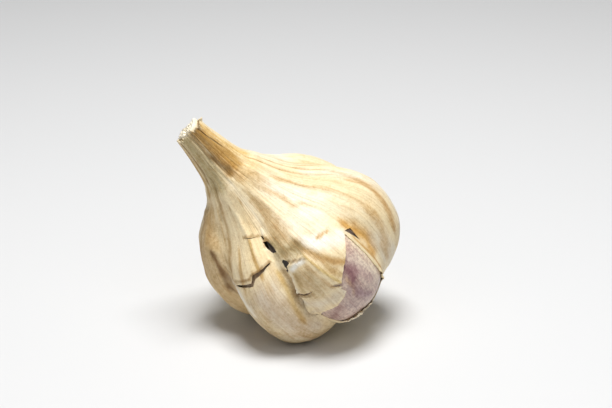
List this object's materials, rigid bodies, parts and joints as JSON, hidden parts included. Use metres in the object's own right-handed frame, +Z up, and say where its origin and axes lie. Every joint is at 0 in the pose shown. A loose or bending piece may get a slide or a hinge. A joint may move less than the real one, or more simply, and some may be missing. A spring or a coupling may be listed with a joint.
{
  "type": "garlic bulb",
  "caption": "Whole garlic bulb lying on its side: lobed papery skin with a cut neck, torn open over one purple-skinned clove.",
  "frame": {"origin": "middle of the footprint box, on the surface that the bulb rests on", "axes": "+Z up from that surface; the neck leans over towards -X and up; the torn clove faces -Y"},
  "size_m": [0.0666, 0.0608, 0.0658],
  "materials": {
    "outer_skin": "dry papery skin, satin, long veins and tan stains",
    "clove_skin_purple": "thin clove skin, satin, mottled purple over tan",
    "clove_skin": "thin clove skin, satin, pale tan",
    "dry_leaf": "dry fibrous leaf, matte, cream",
    "root_cork": "corky, matte, brown"
  },
  "bodies": {
    "root": {"outer_skin": "outer_skin", "exposed_clove": "clove_skin_purple", "right_clove": "clove_skin", "top_clove": "clove_skin", "rear_clove": "clove_skin", "under_clove": "clove_skin", "left_clove": "clove_skin", "front_clove": "clove_skin", "inner_leaves": "dry_leaf", "root_plate": "root_cork"}
  },
  "joints": []
}
